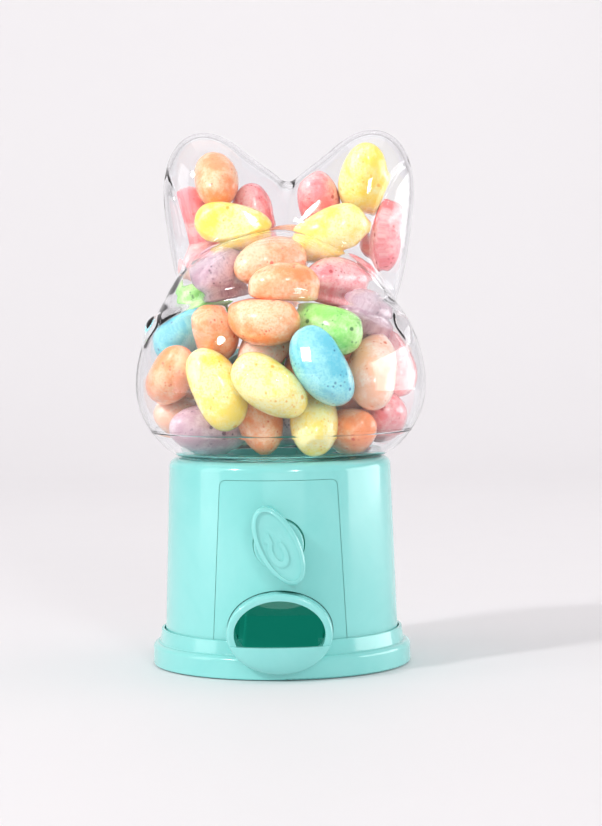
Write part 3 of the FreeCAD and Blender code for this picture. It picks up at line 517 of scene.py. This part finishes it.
def rough_head(voxel_mm):
    """One closed mesh round all the head's masses, before it is drawn onto the exact surface."""
    bm = bmesh.new()
    masses = [(CHEEK_CENTRE, (*CHEEK_HALVES, CHEEK_UP), 0), FOREHEAD, *EAR_ROOTS, *EAR_TIPS]
    for centre, halves, lean in masses:
        place = Matrix.Translation(Vector(centre)) @ Matrix.Rotation(math.radians(lean), 4, "Y")
        place = place @ Matrix.Diagonal((*halves, 1))
        bmesh.ops.create_icosphere(bm, subdivisions=5, radius=1.0, matrix=place)
    mesh = bpy.data.meshes.new("rough head")
    bm.to_mesh(mesh)
    bm.free()
    obj = bpy.data.objects.new("rough head", mesh)
    bpy.context.scene.collection.objects.link(obj)
    remesh = obj.modifiers.new("voxels", "REMESH")
    remesh.mode = "VOXEL"
    remesh.voxel_size = voxel_mm
    graph = bpy.context.evaluated_depsgraph_get()
    result = bpy.data.meshes.new_from_object(obj.evaluated_get(graph))
    bpy.data.objects.remove(obj)
    bpy.data.meshes.remove(mesh)
    return result


def bottom_band(rim):
    """Rows of points from the head's cut edge down round the neck and back up to the inner wall.

    rim holds the outside points of the cut edge. Each row has one point for every rim point.
    """
    flat = (rim[:, :2] - np.array(CHEEK_CENTRE[:2])) / np.array(CHEEK_HALVES)
    around = np.arctan2(flat[:, 1], flat[:, 0])
    oval = np.column_stack([np.cos(around), np.sin(around)])
    polar = np.arctan2(rim[:, 1], rim[:, 0])
    circle = np.column_stack([np.cos(polar), np.sin(polar)])

    def on_cheeks(z, inset, inward=0.0):
        share = math.sqrt(1 - ((CHEEK_CENTRE[2] - z) / (CHEEK_DOWN - inset)) ** 2)
        halves = (np.array(CHEEK_HALVES) - inset) * share - inward
        level = oval * halves + np.array(CHEEK_CENTRE[:2])
        return np.column_stack([level, np.full(len(rim), z)])

    def on_neck(radius, z):
        return np.column_stack([circle * radius, np.full(len(rim), z)])

    def rounded(start, corner, finish, steps=6):
        shares = [(k + 1) / steps for k in range(steps)]
        return [(1 - t) ** 2 * start + 2 * t * (1 - t) * corner + t**2 * finish for t in shares]

    rows = [on_cheeks(z, 0) for z in (SEAM_Z_MM + 0.5, SEAM_Z_MM + 0.13)]
    rows += [on_cheeks(z, 0, -SEAM_RIDGE_MM) for z in (SEAM_Z_MM + 0.06, SEAM_Z_MM - 0.06)]
    rows += [on_cheeks(z, 0) for z in (SEAM_Z_MM - 0.13, 60.3, 59.6, 58.9, 58.2, 57.5)]
    low = GLOBE_BOTTOM_MM + BOTTOM_ROUNDING_MM
    rows.append(on_cheeks(low, 0))
    rows += rounded(
        rows[-1], on_cheeks(GLOBE_BOTTOM_MM, 0), on_cheeks(GLOBE_BOTTOM_MM, 0, BOTTOM_ROUNDING_MM)
    )
    floor = GLOBE_BOTTOM_MM + GLOBE_WALL_MM
    bore = NECK_RADIUS_MM - NECK_WALL_MM
    rows += [on_neck(NECK_RADIUS_MM, GLOBE_BOTTOM_MM), on_neck(NECK_RADIUS_MM, NECK_BOTTOM_MM)]
    rows += [on_neck(bore, NECK_BOTTOM_MM), on_neck(bore, floor)]
    inner = [on_cheeks(floor + 1.2, GLOBE_WALL_MM)]
    inner += rounded(
        inner[0], on_cheeks(floor, GLOBE_WALL_MM), on_cheeks(floor, GLOBE_WALL_MM, 1.2), 4
    )
    rows += inner[::-1]
    rows += [on_cheeks(z, GLOBE_WALL_MM) for z in (57.8, 58.6, 59.4, 60.2, 61.0)]
    return rows


def lug(middle):
    """One bayonet lug on the neck: points and faces of a curved block."""
    steps = 8
    points, faces = [], []
    for k in range(steps + 1):
        angle = middle + LUG_HALF_ANGLE * (2 * k / steps - 1)
        low, high = LUG_HEIGHTS_MM
        for radius, z in ((NECK_RADIUS_MM - 0.3, low), (LUG_RADIUS_MM, low),
                          (LUG_RADIUS_MM, high), (NECK_RADIUS_MM - 0.3, high)):
            points.append((radius * math.cos(angle), radius * math.sin(angle), z))
    for k in range(steps):
        for i in range(4):
            j = (i + 1) % 4
            faces.append([4 * k + i, 4 * k + j, 4 * k + 4 + j, 4 * k + 4 + i])
    faces += [[3, 2, 1, 0], [4 * steps + i for i in range(4)]]
    return np.array(points), faces


def make_head():
    """The whole clear globe as one piece: both walls, the seam's ridge, the neck and its lugs."""
    mesh = rough_head(HEAD_VOXEL_MM)
    pairs = edge_pairs(mesh)
    points = coordinates(mesh)
    none_fixed = np.zeros(len(points), bool)
    for _ in range(3):
        points = onto(head_outside, relaxed(points, pairs, none_fixed), rounds=2)
    points = onto(head_outside, points)
    mesh.vertices.foreach_set("co", points.ravel())
    bottom = SEAM_Z_MM + 0.9
    bm = bmesh.new()
    bm.from_mesh(mesh)
    bpy.data.meshes.remove(mesh)
    everything = bm.verts[:] + bm.edges[:] + bm.faces[:]
    bmesh.ops.bisect_plane(
        bm, geom=everything, plane_co=(0, 0, bottom), plane_no=(0, 0, 1), clear_inner=True, dist=0.05
    )
    bm.verts.index_update()
    points = np.array([v.co[:] for v in bm.verts])
    rim = np.array([v.is_boundary for v in bm.verts])
    faces = [[v.index for v in f.verts] for f in bm.faces]
    rim_edges = [(e.link_loops[0].vert.index, e.link_loops[0].link_loop_next.vert.index)
                 for e in bm.edges if e.is_boundary]
    pairs = np.array([[v.index for v in e.verts] for e in bm.edges])
    bm.free()

    points[rim, 2] = bottom
    outside = onto(head_outside, points, rim)
    normal = slope_of(head_outside, outside)
    normal[rim, 2] = 0
    normal /= np.linalg.norm(normal, axis=1)[:, None]
    inside = outside - normal * GLOBE_WALL_MM
    for _ in range(3):
        inside = onto(head_inside, relaxed(inside, pairs, rim, 0.4), rim, rounds=2)
    inside = onto(head_inside, inside, rim)

    count = len(outside)
    walls = faces + [[i + count for i in reversed(f)] for f in faces]
    rim_index = np.flatnonzero(rim)
    rows = [rim_index]
    blocks = [outside, inside]
    total = 2 * count
    for row in bottom_band(outside[rim]):
        rows.append(np.arange(total, total + len(row)))
        blocks.append(row)
        total += len(row)
    rows.append(rim_index + count)
    order = {vertex: k for k, vertex in enumerate(rim_index)}
    for upper, lower in zip(rows, rows[1:]):
        for a, b in rim_edges:
            i, j = order[a], order[b]
            walls.append([upper[j], upper[i], lower[i], lower[j]])
    for k in range(3):
        lug_points, lug_faces = lug(math.radians(30 + 120 * k))
        walls += [[i + total for i in f] for f in lug_faces]
        blocks.append(lug_points)
        total += len(lug_points)
    placed = np.vstack(blocks) @ rotation_z(GLOBE_YAW).T * MM
    head = mesh_object("globe_head", placed, walls, clear)
    head.data.set_sharp_from_angle(angle=SHARP_EDGE)
    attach(head, "globe")
    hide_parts("globe_dish", "globe_shell", "globe_crown_left", "globe_crown_right")


# ---- jelly beans ---------------------------------------------------------------------------------

BEAN_LENGTH_GROWTH = 1.04     # against the CAD's plain candy
BEAN_GIRTH_GROWTH = 1.06
BEAN_CLEARANCE_MM = 0.25
BEAN_GRID_CUTS = 17
BEAN_SEED = 11

# Front beans moved a little. Each row: colour, rough x and z of the CAD candy, its move in
# x, y and z in millimetres, and its turn in degrees, clockwise as seen from the front.
BEAN_NUDGES = [
    ("orange", (-17, 131), (-0.5, 1.5, -1.5), 0),
    ("pink", (-19, 118), (-1.5, 0, -0.5), 0),
    ("yellow", (-12, 114), (0, -1.5, 1.5), -10),
    ("yellow", (23, 130), (1, -0.5, -1.5), 0),
    ("pink", (12, 122), (0, 1.5, 1.5), 0),
    ("pink", (26, 113), (4, 0, 1), 0),
    ("lilac", (-14, 100), (0, -0.5, 2.5), 0),
    ("orange", (5, 99), (-3, 0, 0), 0),
    ("blue", (10, 77), (1.5, -1.5, 2), 24),
    ("green", (12, 87), (-0.5, 0.5, 0.5), 0),
    ("orange", (-16, 85), (0, 0.5, 2), 0),
    ("orange", (-3, 90), (0, 0.5, 0), -15),
    ("yellow", (-16, 70), (1, 0, 2.5), 0),
    ("yellow", (-4, 72), (2, -1, 2), -22),
    ("yellow", (9, 64), (1.5, -1.5, 0), 0),
    ("orange", (18, 62), (1, 0, 0), 0),
]
NUDGE_REACH_MM = 5.0
FRONT_BEANS_Y = 0.015         # only beans in front of this are moved


def nudge(colour, centre):
    """(move in metres, turn in radians) of the bean at centre, or none."""
    for tone, (x, z), move, degrees in BEAN_NUDGES:
        near = math.hypot(centre[0] / MM - x, centre[2] / MM - z) < NUDGE_REACH_MM
        if tone == colour and near and centre[1] < FRONT_BEANS_Y:
            return np.array(move) * MM, math.radians(degrees)
    return np.zeros(3), 0.0


def kept_inside(points):
    """Bean points in metres, pressed back a hair from the globe's inner wall where they reach it."""
    local = points @ rotation_z(GLOBE_YAW) / MM
    for _ in range(3):
        over = head_inside(local) + BEAN_CLEARANCE_MM
        reached = over > 0
        local[reached] -= over[reached, None] * slope_of(head_inside, local[reached])
    return local @ rotation_z(GLOBE_YAW).T * MM


def islands(mesh):
    """Vertex coordinates of each separate solid in a mesh, whatever splits its faces have."""
    points = coordinates(mesh)
    _, same = np.unique(np.round(points, 6), axis=0, return_inverse=True)
    same = same.ravel()
    links = same[edge_pairs(mesh)]
    label = np.arange(same.max() + 1)
    while True:
        low = np.minimum(label[links[:, 0]], label[links[:, 1]])
        lower = label.copy()
        np.minimum.at(lower, links[:, 0], low)
        np.minimum.at(lower, links[:, 1], low)
        lower = lower[lower]
        if (lower == label).all():
            break
        label = lower
    owner = label[same]
    return [points[owner == k] for k in np.unique(owner)]


def ball_grid(steps):
    """Unit sphere of six curved grids, welded: even faces and no poles."""
    bm = bmesh.new()
    bmesh.ops.create_cube(bm, size=2.0)
    bmesh.ops.subdivide_edges(bm, edges=bm.edges[:], cuts=steps, use_grid_fill=True)
    points = np.array([v.co[:] for v in bm.verts])
    faces = [[v.index for v in f.verts] for f in bm.faces]
    bm.free()
    squares = points**2
    spread = 1 - np.roll(squares, 1, 1) / 2 - np.roll(squares, 2, 1) / 2
    spread += np.roll(squares, 1, 1) * np.roll(squares, 2, 1) / 3
    return points * np.sqrt(spread), faces


def bean_points(unit, chance):
    """A jelly bean of unit half length and half width: plump, a little bent and uneven."""
    x, across = unit[:, 0], unit[:, 1:]
    around = np.linalg.norm(across, axis=1)
    fuller = np.power(np.maximum(around, 1e-6), -0.12)
    taper = 1 + chance.uniform(-0.09, 0.09) * x
    across = across * (fuller * taper)[:, None]
    bend = chance.uniform(0.05, 0.16)
    direction = chance.uniform(0, 2 * math.pi)
    belly = np.cos(np.arctan2(across[:, 1], across[:, 0]) - direction)
    dent = 1 - 0.07 * np.maximum(-belly, 0) * np.exp(-((x / 0.5) ** 2))
    across = across * dent[:, None]
    lift = bend * (0.45 - x**2)
    across[:, 0] += lift * math.cos(direction)
    across[:, 1] += lift * math.sin(direction)
    lumps = np.zeros(len(x))
    for _ in range(4):
        wave = chance.normal(0, 2.2, 3)
        lumps += chance.uniform(0.003, 0.010) * np.sin(unit @ wave + chance.uniform(0, 6.3))
    return np.column_stack([x * (1 + lumps), across * (1 + lumps)[:, None]])


def make_beans(colour, chance):
    """The jelly beans of one colour, each at or close to the place of its plain CAD candy."""
    node = "candies_" + colour
    unit, faces = ball_grid(BEAN_GRID_CUTS)
    all_points, all_faces, shifts = [], [], []
    for cloud in islands(frame["nodes"][node].data):
        centre = (cloud.min(0) + cloud.max(0)) / 2
        axes = np.linalg.svd(cloud - cloud.mean(0), full_matrices=False)[2]
        axes[2] = np.cross(axes[0], axes[1])
        local = (cloud - centre) @ axes.T
        middle = (local.min(0) + local.max(0)) / 2
        half = (local.max(0) - local.min(0)) / 2
        centre = centre + middle @ axes
        girth = (half[1] + half[2]) / 2 * BEAN_GIRTH_GROWTH
        shape = bean_points(unit, chance) * np.array([half[0] * BEAN_LENGTH_GROWTH, girth, girth])
        start = len(all_points) * len(unit)
        move, turn = nudge(colour, centre)
        placed = shape @ axes @ rotation_y(turn).T + centre + move
        all_points.append(kept_inside(placed))
        all_faces += [[i + start for i in f] for f in faces]
        shifts.append(np.tile(chance.uniform(-0.5, 0.5, 3), (len(unit), 1)))
    beans = mesh_object("beans_" + colour, np.vstack(all_points), all_faces, candy[colour])
    attribute = beans.data.attributes.new("bean_shift", "FLOAT_VECTOR", "POINT")
    attribute.data.foreach_set("vector", np.vstack(shifts).astype(np.float32).ravel())
    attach(beans, "globe")
    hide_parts(node)


# ---- stage, light and camera ---------------------------------------------------------------------


def make_stage():
    """Pale sheet that lies on the table and rises behind the machine."""
    n = Nodes("paper")
    place = n.place()
    shader = n.principled(Specular_IOR_Level=0.25)
    cloud = n.noise(place, 3.0, detail=3.0)
    n.join(n.mix(cloud, srgb(232, 229, 231), srgb(236, 233, 235)), shader.inputs["Base Color"])
    n.join(n.span(n.noise(place, 40.0), 0.5, 0.7), shader.inputs["Roughness"])
    n.join(n.bump(n.noise(place, 6.0, detail=2.0), 0.15, 0.003), shader.inputs["Normal"])
    paper = n.finish(shader)
    radius, back, top, half_width = 0.5, 1.1, 2.2, 2.5
    profile = [(-1.2, 0.0)]
    for k in range(17):
        turn = math.pi / 2 * k / 16
        profile.append((back - radius + radius * math.sin(turn), radius - radius * math.cos(turn)))
    profile.append((back, top))
    points, faces = [], []
    for y, z in profile:
        points += [(-half_width, y, z - 0.0002), (half_width, y, z - 0.0002)]
    for k in range(len(profile) - 1):
        faces.append((2 * k, 2 * k + 1, 2 * k + 3, 2 * k + 2))
    sheet = mesh_object("paper_sweep", points, faces, paper)


def area_light(name, place, target, size, power, shape="RECTANGLE"):
    light = bpy.data.lights.new(name, "AREA")
    light.shape = shape
    light.size, light.size_y = size
    light.energy = power
    obj = bpy.data.objects.new(name, light)
    obj.location = place
    obj.rotation_euler = (Vector(target) - Vector(place)).to_track_quat("-Z", "Y").to_euler()
    bpy.context.scene.collection.objects.link(obj)


def make_lights():
    middle = (0, 0, 0.07)
    area_light("key lamp", (-0.80, -0.62, 0.75), middle, (0.13, 0.13), 5.5, shape="DISK")
    area_light("window", (0.30, -0.95, 0.55), middle, (0.12, 0.22), 1.6)
    area_light("right panel", (0.75, 0.12, 0.15), middle, (0.75, 0.30), 2.4)
    area_light("front fill", (0.1, -1.3, 0.12), (0, 0, 0.04), (1.0, 0.4), 1.3)
    area_light("left panel", (-0.75, -0.20, 0.22), middle, (0.35, 0.75), 1.5)
    area_light("top softbox", (0.0, 0.1, 1.0), middle, (0.9, 0.7), 1.2)
    area_light("back wash", (0.0, 0.55, 0.9), (0, 1.1, 0.35), (1.4, 0.4), 1.8)
    world = bpy.data.worlds.new("studio")
    world.use_nodes = True
    world.node_tree.nodes["Background"].inputs["Color"].default_value = (1.0, 0.99, 0.995, 1.0)
    world.node_tree.nodes["Background"].inputs["Strength"].default_value = 0.58
    bpy.context.scene.world = world


def make_camera():
    """Long lens a little above the base, slightly to the right of the machine's front."""
    distance, height, swing = 0.6593, 0.1006, math.radians(0.99)
    yaw, pitch, roll = math.radians(0.50), math.radians(3.04), math.radians(0.70)
    data = bpy.data.cameras.new("camera")
    data.lens = 109.0
    data.sensor_width = 36.0
    camera = bpy.data.objects.new("camera", data)
    camera.location = (distance * math.sin(swing), -distance * math.cos(swing), height)
    facing = Matrix.Rotation(swing - yaw, 4, "Z") @ Matrix.Rotation(math.pi / 2 - pitch, 4, "X")
    camera.rotation_euler = (facing @ Matrix.Rotation(-roll, 4, "Z")).to_euler()
    bpy.context.scene.collection.objects.link(camera)
    bpy.context.scene.camera = camera


def set_look():
    scene = bpy.context.scene
    scene.view_settings.view_transform = "Standard"
    scene.cycles.use_denoising = True
    scene.cycles.max_bounces = 20
    scene.cycles.transmission_bounces = 16
    scene.cycles.transparent_max_bounces = 16


dress_cad_nodes()
make_head()
chance = np.random.default_rng(BEAN_SEED)
for colour in CANDY_TONES:
    make_beans(colour, chance)
make_stage()
make_lights()
make_camera()
set_look()
